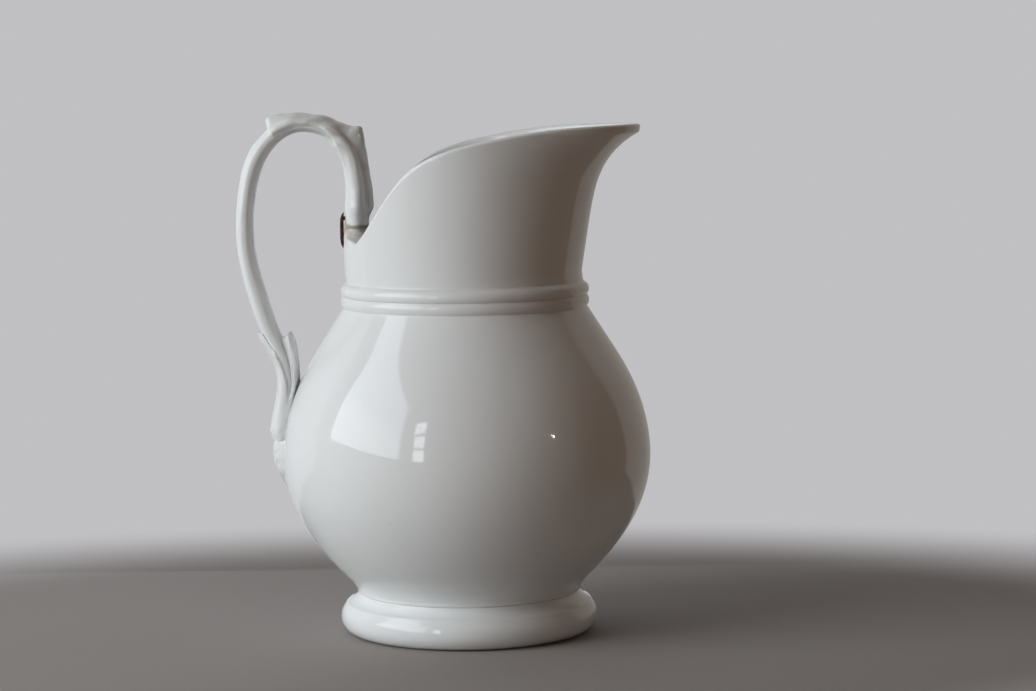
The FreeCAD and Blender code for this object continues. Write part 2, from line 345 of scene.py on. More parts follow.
def belly_inside():
    """Inside of the bowl, from its mouth down to the middle of its floor."""
    bowl = smooth_line(BELLY_LINE, 1.5)
    along = np.gradient(bowl, axis=0)
    along /= np.linalg.norm(along, axis=1)[:, None]
    wall = bowl + BELLY_WALL * np.column_stack([-along[:, 1], along[:, 0]])
    wall = wall[(wall[:, 1] > 25) & (wall[:, 1] < 131)][::-1]
    return smooth_line(np.vstack([
        [(MOUTH_RADIUS, REBATE_BOTTOM), (MOUTH_RADIUS, 134.0)],
        wall[::6],
        [(42.0, 23.0), (34.0, FLOOR_LEVEL), (17.0, FLOOR_LEVEL), (0.0, FLOOR_LEVEL)],
    ]), 1.0)


def belly_piece():
    """Round bowl with its floor, the bead above the foot and the lower neck ring."""
    rebate = straight([
        (RING_CREASE_RADIUS, SEAM),
        (REBATE_RADIUS, SEAM),
        (REBATE_RADIUS, REBATE_BOTTOM),
        (MOUTH_RADIUS, REBATE_BOTTOM),
    ])
    bottom = straight([
        (0.0, FOOT_TOP),
        (HOLLOW_RADIUS, FOOT_TOP),
        (HOLLOW_RADIUS, FOOT_TOP - SEAT_DEPTH),
        (SEAT_RADIUS, FOOT_TOP - SEAT_DEPTH),
        (SEAT_RADIUS, FOOT_TOP),
        (FOOT_CREASE_RADIUS, FOOT_TOP),
    ], 1.0)
    outline = joined(bottom, belly_outline(), rebate, belly_inside())
    # Painted shade, with some grime, in the creases at the foot, at the start of the ring and at the seam.
    creases = [(FOOT_TOP, 0.03), (BELLY_LINE[-1][1], 0.08), (SEAM, 0.16)]
    dirt_and_shade = crease_dirt_and_shade(outline[:, 1], creases, 0.8)
    return turned("belly_body", outline, close=False, layers={"grime_and_shade": dirt_and_shade, "bare": 0 * dirt_and_shade})


def neck_reach(height, angle, wall):
    """Distance from the neck's centre to its surface, drawn out to the lip in front."""
    up = np.clip((height - LIP_START) / (LIP_TOP - LIP_START), 0, None)
    curl = np.clip((height - LIP_START) / (LIP_CURL_TOP - LIP_START), 0, 1)
    lobe = ((1 + np.cos(angle)) / 2) ** LIP_NARROWNESS
    radius = NECK_RADIUS + NECK_FLARE * up - wall
    curl_reach = LIP_CURL - LIP_THINNING * wall / NECK_WALL
    return radius + (LIP_REACH * up + curl_reach * curl ** LIP_CURL_POWER) * lobe


def neck_wall_line(angle, wall, base, count=160):
    """Wall line of the neck at one angle, from the base up to the rim."""
    low, high = base, LIP_TOP + 2
    for _ in range(40):
        middle = (low + high) / 2
        x = NECK_OFFSET + neck_reach(middle, angle, wall) * math.cos(angle)
        if middle < np.interp(x, RIM_FINE[:, 0], RIM_FINE[:, 1]):
            low = middle
        else:
            high = middle
    height = np.linspace(base, low, count)
    reach = neck_reach(height, angle, wall)
    shift = NECK_OFFSET * rise(height, NECK_BASE - 1, LIP_START)
    return np.column_stack([shift + reach * math.cos(angle), reach * math.sin(angle), height])


def shortened(line, distance):
    """The line without its last stretch."""
    step = np.linalg.norm(np.diff(line, axis=0), axis=1)
    length = np.concatenate([[0.0], np.cumsum(step)])
    place = np.linspace(0, length[-1] - distance, len(line))
    return np.column_stack([np.interp(place, length, column) for column in line.T])


def neck_base_line():
    """Spigot, upper ring and the start of the wall, the same at every angle."""
    ring_top = (50.0, 143.7)
    wall_base = (NECK_RADIUS, NECK_BASE)
    ring = softened(joined(
        arc_line((RING_CREASE_RADIUS, SEAM), (RING_RADIUS, 141.4), ring_top),
        straight([ring_top, wall_base]),
        straight([wall_base, (NECK_RADIUS, NECK_BASE + 2)]),
    ), GLAZE_ROUNDING)
    spigot = straight([
        (REBATE_RADIUS, REBATE_BOTTOM),
        (REBATE_RADIUS, SEAM),
        (RING_CREASE_RADIUS, SEAM),
    ])
    return joined(spigot, ring)


def rim_turn(outer_end, outer_corner, inner_corner, inner_end):
    """Rounded rim between the ends of the outer and the inner wall line."""
    t = np.linspace(0, 1, 18)[1:-1][:, None]
    return ((1 - t) ** 3 * outer_end + 3 * (1 - t) ** 2 * t * outer_corner
            + 3 * (1 - t) * t ** 2 * inner_corner + t ** 3 * inner_end)


def neck_piece():
    """Neck with its ring, the sloping rim and the lip, built as one closed line at each angle."""
    base = neck_base_line()
    lift = np.array([0, 0, RIM_LIFT])
    columns = []
    for angle in np.linspace(0, 2 * math.pi, TURN_SEGMENTS, endpoint=False):
        around = np.column_stack([
            base[:, 0] * math.cos(angle), base[:, 0] * math.sin(angle), base[:, 1]])
        around[:, 0] += NECK_OFFSET * rise(base[:, 1], NECK_BASE - 1, LIP_START)
        outer = neck_wall_line(angle, 0, NECK_BASE + 2)
        inner = neck_wall_line(angle, NECK_WALL, REBATE_BOTTOM)
        outer_corner = outer[-1] + lift
        inner_corner = inner[-1] + lift
        outer = respaced(shortened(outer, RIM_ROUNDING), 90)
        inner = respaced(shortened(inner, RIM_ROUNDING), 90)[::-1]
        turn = rim_turn(outer[-1], outer_corner, inner_corner, inner[0])
        columns.append(np.vstack([around, outer[1:], turn, inner]))
    points = np.array(columns).transpose(1, 0, 2)
    # Painted shade, with some grime, in the seam and the crease at the neck's base, on the outside only.
    dirt_and_shade = crease_dirt_and_shade(points[:, :, 2], [(SEAM, 0.16), (NECK_BASE - 0.4, 0.08)], 0.9)
    dirt_and_shade = dirt_and_shade * (np.hypot(points[:, :, 0], points[:, :, 1]) > NECK_RADIUS - 1)
    return grid_object("neck_body", points, close_rows=True, layers={"grime_and_shade": dirt_and_shade, "bare": 0 * dirt_and_shade})


# ---- Handle ----

def handle_path(stations, step=0.5):
    """Fine stations, with the length along the path and the direction that faces out of the loop."""
    fine = smooth_line(stations, step)
    along = np.gradient(fine[:, :2], axis=0)
    along /= np.linalg.norm(along, axis=1)[:, None]
    length = np.concatenate([[0.0], np.cumsum(np.hypot(*np.diff(fine[:, :2], axis=0).T))])
    outward = np.column_stack([along[:, 1], -along[:, 0]])
    return {"length": length, "station": fine, "along": along, "outward": outward}


BEVEL_POWER = 14
BEVEL_FACE = 1.40


def wrapped(path, place, angle, lift, bevel):
    """Points round the handle at `place` along it and `angle` about it, raised by `lift`."""
    def read(table, column):
        return np.interp(place, path["length"], table[:, column])

    half_thickness = read(path["station"], 2) / 2
    half_width = read(path["station"], 3) / 2
    c, s = np.cos(angle), np.sin(angle)
    facet = (np.abs(c) + np.abs(s)) / BEVEL_FACE
    power = BEVEL_POWER
    bevelled = (np.abs(c) ** power + np.abs(s) ** power + facet ** power) ** (-1 / power)
    scale = bevelled * bevel + 1 - bevel
    normal = np.hypot(c / half_thickness, s / half_width)
    across = half_thickness * scale * c + lift * c / half_thickness / normal
    side = half_width * scale * s + lift * s / half_width / normal
    past = np.maximum(place - path["length"][-1], 0) + np.minimum(place, 0)
    x = read(path["station"], 0) + across * read(path["outward"], 0) + past * read(path["along"], 0)
    z = read(path["station"], 1) + across * read(path["outward"], 1) + past * read(path["along"], 1)
    return np.stack([x, side, z], axis=-1)


def around_angles(count):
    """Evenly spaced angles about the handle; 0 faces out of the loop."""
    return np.linspace(-math.pi, math.pi, count, endpoint=False)


def break_stain_and_shade(points, distance):
    """Olive grime that has crept from the break, by the distance from it in millimetres, with painted shade
    on the side towards the lip.
    """
    x = points[..., 0]
    near = 0.60 * (1 - rise(distance, 0.0, 3.0)) * (1 - 0.8 * rise(x, -46.5, -42.0))
    # Wider band on the stem's side towards the lip, which faces away from the light: stain and painted
    # shade together.
    side_stain_and_shade = 0.52 * bump(distance, 4.5, 8.0) * rise(x, -46.0, -41.0)
    return np.maximum(near, side_stain_and_shade) * (np.abs(x - STEM_X) < 12)


RUST_X = -49.5
RUST_HEIGHT = 165.0


def rust_halo(points):
    """How strongly rust from the staple has stained a point."""
    back = 1 - rise(np.abs(points[..., 0] - RUST_X), 1.0, 5.0)
    level = bump(points[..., 2], RUST_HEIGHT, 8.0)
    side = 1 - 0.6 * rise(np.abs(points[..., 1]), 2.5, 8.5)
    return 0.8 * back * level * side


def strap_piece(path):
    """Strap with bevelled edges, oval at the break."""
    place, angle = np.meshgrid(path["length"], around_angles(72), indexing="ij")
    height = np.interp(place, path["length"], path["station"][:, 1])
    bevel = rise(place, 4, 20)
    points = wrapped(path, place, angle, 0 * place, bevel)
    return grid_object("handle_strap_body", points, caps=True, layers={
        "grime_and_shade": break_stain_and_shade(points, height - BREAK_TOP), "bare": 0 * place, "rust": rust_halo(points)})


LEAF_INSIDE = -0.4
LEAF_EDGE_BULGE = 0.9


def sleeve(name, path, top, lift, count, dirt_and_shade, bevel, rows=150, start=0.0):
    """Closed leaf shell wrapped on the handle, from `start` to an edge that varies with the angle."""
    angle = around_angles(count)[None, :]
    share = np.linspace(0, 1, rows)[:, None]
    edge = top(angle)
    place = start + (edge - start) * share
    angles = np.broadcast_to(angle, place.shape)
    outer_lift = lift(place, angles)
    inner_lift = np.full_like(outer_lift, LEAF_INSIDE)
    half = (outer_lift[-1] - LEAF_INSIDE) / 2
    middle = (outer_lift[-1] + LEAF_INSIDE) / 2
    turn = np.linspace(0, math.pi, 9)[1:-1][:, None]
    edge_place = edge + np.minimum(half, LEAF_EDGE_BULGE) * np.sin(turn)
    edge_lift = middle + half * np.cos(turn)
    places = np.vstack([place, edge_place, place[::-1]])
    lifts = np.vstack([outer_lift, edge_lift, inner_lift])
    angles = np.broadcast_to(angle, places.shape)
    points = wrapped(path, places, angles, lifts, bevel(places))
    grime_and_shade = np.broadcast_to(dirt_and_shade(places, angles), places.shape)
    return grid_object(name, points, close_rows=True, sharp=60, layers={
        "grime_and_shade": grime_and_shade, "bare": 0 * places, "rust": rust_halo(points)})


def unevenness(place, angle, pitch):
    """Smooth hand-modelled unevenness over a leaf."""
    flat = np.stack([place.ravel() / pitch, 3 * np.cos(angle).ravel(), 3 * np.sin(angle).ravel()], axis=1)
    return np.array([noise.noise(Vector(row)) for row in flat]).reshape(place.shape)


# Height of the upper leaf above the strap along its outer side, as (length along the handle, height).
UPPER_CREST = [
    (0.0, -0.2), (3.0, 0.5), (5.3, 1.6), (7.5, 2.4), (12.5, 2.5), (18.8, 2.4), (24.0, 2.6), (29.3, 3.9),
    (32.8, 6.1), (34.4, 7.1), (35.2, 6.7), (36.4, 4.4), (38.0, 3.2), (41.0, 2.5), (45.0, 2.1), (49.0, 1.6),
    (53.5, 1.6), (58.0, 2.3), (62.0, 4.0), (63.8, 4.5), (64.8, 3.6), (66.3, 0.2), (70.0, -0.4),
]
UPPER_LEAF_END = 69.0
LEAF_TUCK = 0.35


def crest_height(place):
    """Height of the upper leaf's crest at a place, with the corners of its table eased."""
    fine = np.arange(-2, 75, 0.1)
    return np.interp(place, fine, smoothed(looked_up(fine, UPPER_CREST), 7))


def upper_leaf_relief(place, angle):
    """Soft ribs along the stem, turning into slanting folds over the arch."""
    side = np.abs(angle)
    ribs = np.cos(4.4 * side) * (1 - rise(place, 24, 34))
    folds = np.cos(2 * math.pi * (place - 4.5 * side) / 9.0)
    over_arch = rise(place, 24, 34) * (1 - rise(place, 50, 62))
    return 0.34 * ribs * rise(place, 3, 9) + 0.20 * folds * over_arch


def upper_leaf_cover(place, angle):
    """1 where the leaf lies on the strap, 0 beyond its side edge."""
    degrees = np.degrees(np.abs(angle))
    limit = 168 - 62 * rise(place, 22, 48)
    return 1 - rise(degrees, limit - 30, limit)


def upper_leaf_lift(place, angle):
    """Height of the leaf above the strap: its body, its two curled tips, relief and soft swellings."""
    crest = crest_height(place)
    body = np.minimum(crest, 2.3)
    tip = crest - body
    degrees = np.degrees(np.abs(angle))
    narrow = 1 - rise(degrees, 14, 52)
    cover = upper_leaf_cover(place, angle)
    fade = rise(place, 0.5, 6) * (1 - rise(place, 62.0, 65.5))
    relief = upper_leaf_relief(place, angle) + 0.22 * unevenness(place, angle, 7.0)
    side_swell = 0.225 * (1 - rise(degrees, 95, 125)) * rise(degrees, 50, 80) * fade
    inner_swell = 1.5 * bump(place, 34.5, 11.5) * rise(degrees, 84, 150)
    leaf = LEAF_TUCK + body * (0.6 + 0.4 * narrow) + relief * fade
    return cover * leaf - LEAF_TUCK + tip * narrow + side_swell + inner_swell


def upper_leaf_piece(path):
    """Leaf over the arch and the stem, with a curled tip at each end of the arch."""
    def top(angle):
        return UPPER_LEAF_END + 0 * angle

    def dirt_and_shade(place, angle):
        # Painted shade: darker in the relief's grooves, most over the arch, along the leaf's side edge, and
        # in soft patches over the arch.
        painted_groove_shade = np.clip(-upper_leaf_relief(place, angle) * 2.4, 0, 1)
        cover = upper_leaf_cover(place, angle)
        edge = 4 * cover * (1 - cover)
        shoulder = bump(place, 34, 16)
        painted_shade_mottle = 0.5 * np.clip(unevenness(place, angle, 3.5), 0, 1) * bump(place, 42, 20)
        return np.clip(painted_groove_shade * (0.10 + 0.26 * shoulder) + 0.08 * edge + painted_shade_mottle, 0, 1)

    def bevel(place):
        return rise(place, 4, 20)

    return sleeve("upper_leaf_body", path, top, upper_leaf_lift, 144, dirt_and_shade, bevel, rows=260)


def descending(path, height):
    """Length along the path at which its falling side passes a height."""
    top = int(np.argmax(path["station"][:, 1]))
    falling = path["station"][top:, 1][::-1]
    return np.interp(height, falling, path["length"][top:][::-1])


# Height of the lower leaf's two blades above the strap, as (distance above the collar, height).
OUTER_BLADE = [
    (0.0, 0.6), (1.5, 1.0), (4.0, 1.0), (6.5, 0.85), (11.5, 0.6), (15.7, 0.8), (20.3, 1.15), (28.0, 1.0),
    (33.0, 1.0), (38.0, 1.4), (43.6, 1.8), (46.5, 1.6),
]
INNER_BLADE = [
    (0.0, 0.6), (8.0, 0.7), (16.7, 1.0), (23.3, 1.5), (26.3, 1.8), (31.0, 2.9), (36.0, 4.1), (39.3, 4.4),
    (41.6, 3.9),
]
LOWER_LEAF_BOTTOM = 81.2
OUTER_BLADE_TOP = 126.4
INNER_BLADE_TOP = 121.6
BLADE_FORK = 99.5


def lower_leaf_piece(path):
    """Leaf on the strap's lower end: an outer and an inner blade that join in a collar."""
    bottom = descending(path, LOWER_LEAF_BOTTOM)
    outer_top = descending(path, OUTER_BLADE_TOP)
    inner_top = descending(path, INNER_BLADE_TOP)
    fork = descending(path, BLADE_FORK)

    def top(angle):
        degrees = np.degrees(np.abs(angle))
        outer = 1 - 0.30 * rise(degrees, 35, 65) - 0.70 * rise(degrees, 65, 102)
        inner = rise(degrees, 106, 146)
        return fork + (outer_top - fork) * outer + (inner_top - fork) * inner

    def lift(place, angle):
        degrees = np.degrees(np.abs(angle))
        up = bottom - place
        inner_share = rise(degrees, 80, 140)
        blade = looked_up(up, OUTER_BLADE) * (1 - inner_share) + looked_up(up, INNER_BLADE) * inner_share
        edge = 1 - rise(place - top(angle), 0.0, 4.5)
        side = rise(degrees, 15, 50) * (1 - rise(degrees, 110, 150))
        ribs = 0.16 * np.cos(6.0 * np.abs(angle)) * rise(up, 3, 10)
        beads = 0.22 * np.cos(10 * angle) * bump(up, 2.6, 2.6)
        return blade * (1 - 0.75 * edge * side) + ribs + beads + 0.14 * unevenness(place, angle, 6.0)

    def dirt_and_shade(place, angle):
        # Painted shade in the grooves between the ribs.
        return 0.10 * np.clip(-np.cos(6.0 * np.abs(angle)), 0, 1)

    def bevel(place):
        return 1 - rise(place, bottom - 30, bottom)

    return sleeve("lower_leaf_body", path, top, lift, 120, dirt_and_shade, bevel, rows=110, start=bottom)


def belly_radius(height):
    """Outside radius of the bowl at a height."""
    return np.interp(height, BOWL_FINE[:, 1], BOWL_FINE[:, 0])


# Tail leaf: (height, half width) and (height, how far it stands out from the bowl).
TAIL_WIDTHS = [
    (57.6, 0.5), (60.0, 2.2), (64.0, 4.6), (68.0, 6.6), (73.0, 7.8), (79.0, 7.2), (83.5, 6.6),
]
TAIL_HEIGHTS = [
    (57.6, 0.1), (61.5, 0.9), (64.7, 1.9), (67.0, 3.1), (69.0, 3.7), (73.5, 4.2), (77.0, 4.3), (79.5, 3.9),
    (81.5, 3.0), (83.5, 2.8),
]


def tail_leaf_piece():
    """Leaf below the collar: a veined dome on the belly that runs out to a thin point."""
    bottom, top = TAIL_WIDTHS[0][0], TAIL_WIDTHS[-1][0]
    down = np.linspace(0, 1, 120)[:, None]
    across = np.linspace(-1, 1, 61)[None, :]
    from_middle = np.abs(across)
    height = top + (bottom - top) * down
    half_width = looked_up(height, TAIL_WIDTHS)
    dome = (1 - from_middle ** 2.2) ** 0.85
    vein = np.cos(2 * math.pi * (height - 0.8 * from_middle * half_width) / 4.6)
    ridge = 0.22 * np.exp(-(across / 0.16) ** 2)
    veins = 0.68 * vein * from_middle ** 0.5 * (1 - from_middle)
    relief = (veins + ridge) * rise(height, 58, 63)
    out = belly_radius(height) - 0.5 + (looked_up(height, TAIL_HEIGHTS) + 0.5 + relief) * dome
    spread = across * half_width / belly_radius(height)
    heights = height + 0 * spread
    face = np.stack([-out * np.cos(spread), out * np.sin(spread), heights], axis=2)
    under = belly_radius(height) - 1.2
    back = np.stack([-under * np.cos(spread), under * np.sin(spread), heights], axis=2)
    points = np.concatenate([face, back[:, ::-1]], axis=1)
    # Painted shade in the vein grooves near the leaf's lower point.
    painted_groove_shade = np.clip(-vein, 0, 1) * bump(height, 62, 8) * (1 - from_middle)
    dirt_and_shade = np.concatenate([painted_groove_shade, 0 * painted_groove_shade], axis=1)
    return grid_object("tail_leaf_body", points, caps=True, sharp=60,
                       layers={"grime_and_shade": dirt_and_shade, "bare": 0 * dirt_and_shade})


# Stump of the handle: height, half width along the rim, and the faces towards the handle and the lip.
ROOT = [
    (BREAK_BOTTOM, 8.5, -49.0, -39.0),
    (165.8, 8.7, -49.1, -39.2),
    (164.6, 9.6, -49.3, -39.8),
    (163.6, 12.0, -49.4, -41.0),
    (162.8, 16.5, -49.5, -42.6),
    (162.0, 21.5, -49.5, -44.2),
    (160.6, 25.5, -49.5, -45.6),
    (158.0, 27.2, -49.5, -46.0),
    (148.0, 27.6, -49.1, -46.0),
]


def rounded_section(angle, power):
    """Cosine and sine of a section between an ellipse (power 2) and a rectangle (high powers)."""
    c, s = np.cos(angle), np.sin(angle)
    scale = (np.abs(c) ** power + np.abs(s) ** power) ** (-1 / power)
    return c * scale, s * scale


def root_piece():
    """Stump of the handle, spreading into the rim and the wall of the neck."""
    table = np.array(ROOT)[::-1]
    levels = np.linspace(table[0, 0], table[-1, 0], 90)
    half_widths, backs, fronts = (
        smoothed(np.interp(levels, table[:, 0], column), 5) for column in table[:, 1:].T)
    wall_radius = NECK_RADIUS - NECK_WALL / 2
    angle = around_angles(160)
    rows = []
    for height, half_width, back, front in zip(levels, half_widths, backs, fronts):
        spread = 1 - rise(height, 162.5, BREAK_BOTTOM)
        across, along = rounded_section(angle, 2.2 + 4 * spread)
        side = half_width * along
        sag = (wall_radius - np.sqrt(wall_radius ** 2 - side ** 2)) * spread
        x = (back + front) / 2 + sag + (front - back) / 2 * across
        rows.append(np.column_stack([x, side, np.full(len(angle), height)]))
    points = np.array(rows)
    # Painted shade, with some grime, on the middle of the stump's side towards the lip, over the stain from
    # the break.
    corner = rise(points[..., 0], -46.5, -42.0) * (1 - rise(np.abs(points[..., 1]), 9.0, 14.0))
    stain = np.maximum(break_stain_and_shade(points, BREAK_BOTTOM - points[..., 2]), 0.8 * corner)
    return grid_object("handle_root_body", points, caps=True, layers={
        "grime_and_shade": stain, "bare": 0 * stain, "rust": rust_halo(points)})


# ---- Repair ----

CEMENT_OVERLAP = 0.12
STAPLE_END_X = -49.35
STAPLE_BOW = 0.80
LEG_RADIUS = 0.8
LEG_START_X = -49.8
LEG_LENGTH = 3.6
LOW_LEG_HEIGHT = 160.8
HIGH_LEG_HEIGHT = 171.0


def cement_piece():
    """Uneven layer of old cement in the break."""
    low, high = BREAK_BOTTOM - CEMENT_OVERLAP, BREAK_TOP + CEMENT_OVERLAP
    angle = around_angles(120)
    wobble = np.array([noise.noise(Vector((3 * math.cos(a), 3 * math.sin(a), 0.0))) for a in angle])
    rows = []
    for share in np.linspace(0, 1, 13):
        bulge = math.sin(math.pi * share)
        reach = 0.22 * bulge * (1 + wobble) - 0.12
        x = STEM_X + (STEM_THICKNESS / 2 + reach) * np.cos(angle)
        y = (STEM_WIDTH / 2 + reach) * np.sin(angle)
        rows.append(np.column_stack([x, y, low + (high - low) * share + 0.18 * wobble]))
    return grid_object("cement_body", np.array(rows), caps=True)


def staple_piece():
    """Straight-backed iron staple with tapered ends and a hammered surface."""
    low, high = (corner.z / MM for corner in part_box("repair_staple"))
    angle = around_angles(40)
    across, side = rounded_section(angle, 4)
    rows = []
    for turn in np.linspace(-1, 1, 90):
        height = (low + high) / 2 + turn * (high - low) / 2
        body = 1 - abs(turn) ** 5
        half_thickness = 0.12 + 0.62 * body
        half_width = 0.45 + 0.85 * body
        rough = np.array([0.07 * noise.noise(Vector((height * 1.3, 2 * math.cos(a), 2 * math.sin(a))))
                          for a in angle])
        x = STAPLE_END_X - STAPLE_BOW * body + half_thickness * across + rough * np.cos(angle)
        y = half_width * side + rough * np.sin(angle)
        rows.append(np.column_stack([x, y, np.full(len(angle), height)]))
    return grid_object("staple_body", np.array(rows), caps=True)


def staple_leg(name, height):
    """Tapered leg from the staple into its drilled hole."""
    angle = around_angles(24)
    rows = []
    for share in np.linspace(0, 1, 12):
        radius = LEG_RADIUS * (1 - 0.35 * share ** 2)
        x = np.full(len(angle), LEG_START_X + LEG_LENGTH * share)
        rows.append(np.column_stack([x, radius * np.cos(angle), height + radius * np.sin(angle)]))
    return grid_object(name, np.array(rows), caps=True)


# ---- Materials ----

def new_material(name):
    """Material with its shader and the piece's own coordinates in metres."""
    material = bpy.data.materials.new(name)
    material.use_nodes = True
    nodes = material.node_tree.nodes
    shader = nodes["Principled BSDF"]
    place = nodes.new("ShaderNodeTexCoord").outputs["Object"]
    return material, shader, place


def noise_value(tree, place, scale, detail=3.0, roughness=0.5):
    """Procedural noise between 0 and 1, with `scale` features to the metre."""
    node = tree.nodes.new("ShaderNodeTexNoise")
    node.inputs["Scale"].default_value = scale
    node.inputs["Detail"].default_value = detail
    node.inputs["Roughness"].default_value = roughness
    tree.links.new(place, node.inputs["Vector"])
    return node.outputs["Fac"]


def ranged(tree, value, low, high, out_low=0.0, out_high=1.0):
    """The value carried smoothly from low..high to out_low..out_high."""
    node = tree.nodes.new("ShaderNodeMapRange")
    node.interpolation_type = "SMOOTHSTEP"
    for key, number in zip(("From Min", "From Max", "To Min", "To Max"), (low, high, out_low, out_high)):
        node.inputs[key].default_value = number
    tree.links.new(value, node.inputs["Value"])
    return node.outputs["Result"]


def calculated(tree, operation, first, second):
    """Result of ADD or MULTIPLY, kept between 0 and 1; the second value may be a plain number."""
    node = tree.nodes.new("ShaderNodeMath")
    node.operation = operation
    node.use_clamp = True
    tree.links.new(first, node.inputs[0])
    if isinstance(second, float):
        node.inputs[1].default_value = second
    else:
        tree.links.new(second, node.inputs[1])
    return node.outputs["Value"]


def mixed(tree, amount, first, second):
    """Blend of two colours; each is a plain colour or the output of another node."""
    node = tree.nodes.new("ShaderNodeMix")
    node.data_type = "RGBA"
    tree.links.new(amount, node.inputs["Factor"])
    for socket, colour in zip((node.inputs["A"], node.inputs["B"]), (first, second)):
        if isinstance(colour, tuple):
            socket.default_value = (*colour, 1.0)
        else:
            tree.links.new(colour, socket)
    return node.outputs["Result"]


def layer_value(tree, name):
    """Value stored on the mesh under this name, 0 where the mesh has none."""
    node = tree.nodes.new("ShaderNodeAttribute")
    node.attribute_name = name
    return node.outputs["Fac"]


def bumped(tree, height, strength, distance, under=None):
    """Small surface relief from a height, laid over the relief `under` it."""
    node = tree.nodes.new("ShaderNodeBump")
    node.inputs["Strength"].default_value = strength
    node.inputs["Distance"].default_value = distance
    tree.links.new(height, node.inputs["Height"])
    if under is not None:
        tree.links.new(under, node.inputs["Normal"])
    return node.outputs["Normal"]


def glazed_porcelain():
    """Old white glaze: cool and warm clouds, pinholes, soft unevenness, grime with painted shade, and rust
    where marked.
    """
    material, shader, place = new_material("glazed_porcelain")
    tree = material.node_tree
    cloud = ranged(tree, noise_value(tree, place, 22, 2), 0.35, 0.68)
    colour = mixed(tree, cloud, (0.778, 0.796, 0.793), (0.770, 0.781, 0.772))
    streak = ranged(tree, noise_value(tree, place, 70, 4, 0.6), 0.58, 0.80, 0.0, 0.22)
    colour = mixed(tree, streak, colour, (0.72, 0.715, 0.69))
    speck = ranged(tree, noise_value(tree, place, 560, 1), 0.80, 0.84, 0.0, 0.40)
    colour = mixed(tree, speck, colour, (0.28, 0.23, 0.18))
    breakup = ranged(tree, noise_value(tree, place, 260, 4, 0.65), 0.30, 0.62, 0.35, 1.0)
    # Grime layer: real grime by the break, and painted shade in creases, leaf grooves and on the stem's
    # side towards the lip, mixed towards olive brown.
    grime_and_shade = calculated(tree, "MULTIPLY", layer_value(tree, "grime_and_shade"), breakup)
    colour = mixed(tree, grime_and_shade, colour, (0.30, 0.275, 0.22))
    rust = calculated(tree, "MULTIPLY", layer_value(tree, "rust"), breakup)
    colour = mixed(tree, rust, colour, (0.50, 0.24, 0.13))
    bare = layer_value(tree, "bare")
    colour = mixed(tree, bare, colour, (0.60, 0.55, 0.47))
    tree.links.new(colour, shader.inputs["Base Color"])
    film = ranged(tree, noise_value(tree, place, 45, 3), 0.3, 0.75, 0.035, 0.08)
    roughness = calculated(tree, "ADD", film, calculated(tree, "MULTIPLY", grime_and_shade, 0.35))
    roughness = calculated(tree, "ADD", roughness, calculated(tree, "MULTIPLY", bare, 0.6))
    tree.links.new(roughness, shader.inputs["Roughness"])
    wave = bumped(tree, noise_value(tree, place, 28, 1), 0.30, 0.0007)
    skin = bumped(tree, noise_value(tree, place, 240, 2), 0.05, 0.0004, wave)
    grain = bumped(tree, noise_value(tree, place, 2200, 2), 0.02, 0.0002, skin)
    tree.links.new(grain, shader.inputs["Normal"])
    shader.inputs["IOR"].default_value = 1.54
    return material


def rusted_iron():
    """Pitted dark brown iron with orange rust in patches."""
    material, shader, place = new_material("rusted_iron")
    tree = material.node_tree
    patch = ranged(tree, noise_value(tree, place, 420, 5, 0.65), 0.42, 0.66)
    colour = mixed(tree, patch, (0.020, 0.013, 0.011), (0.10, 0.034, 0.018))
    fleck = ranged(tree, noise_value(tree, place, 1500, 3), 0.60, 0.72)
    colour = mixed(tree, fleck, colour, (0.20, 0.08, 0.035))
    tree.links.new(colour, shader.inputs["Base Color"])
    tree.links.new(ranged(tree, patch, 0, 1, 0.55, 0.9), shader.inputs["Roughness"])
    shader.inputs["Metallic"].default_value = 0.25
    pits = bumped(tree, noise_value(tree, place, 1600, 4), 0.8, 0.0003)
    tree.links.new(pits, shader.inputs["Normal"])
    return material


def old_cement():
    """Dry olive-brown cement, stained darker in places."""
    material, shader, place = new_material("old_cement")
    tree = material.node_tree
    stain = ranged(tree, noise_value(tree, place, 300, 4, 0.6), 0.35, 0.65)
    colour = mixed(tree, stain, (0.40, 0.385, 0.31), (0.29, 0.275, 0.21))
    tree.links.new(colour, shader.inputs["Base Color"])
    tree.links.new(ranged(tree, stain, 0, 1, 0.75, 0.95), shader.inputs["Roughness"])
    crumbs = bumped(tree, noise_value(tree, place, 2400, 4), 0.9, 0.0003)
    tree.links.new(crumbs, shader.inputs["Normal"])
    return material


def pale_stage():
    """Matt pale paper for the floor."""
    material, shader, place = new_material("pale_floor")
    tree = material.node_tree
    tone = ranged(tree, noise_value(tree, place, 3, 2), 0.3, 0.7)
    colour = mixed(tree, tone, (0.295, 0.270, 0.253), (0.320, 0.295, 0.277))
    tree.links.new(colour, shader.inputs["Base Color"])
    shader.inputs["Roughness"].default_value = 0.9
    return material


# ---- Stage, light and camera (metres) ----

FLOOR_NEAR = 0.16
FLOOR_FAR = 0.30
FLOOR_STRETCH = 1.6
FLOOR_DROP = 0.0001
STAGE_RADIUS = 6.0
STAGE_CORNERS = 96
STAGE_CENTRE = 0.005
BACKGROUND_TONE = (0.53, 0.525, 0.54)


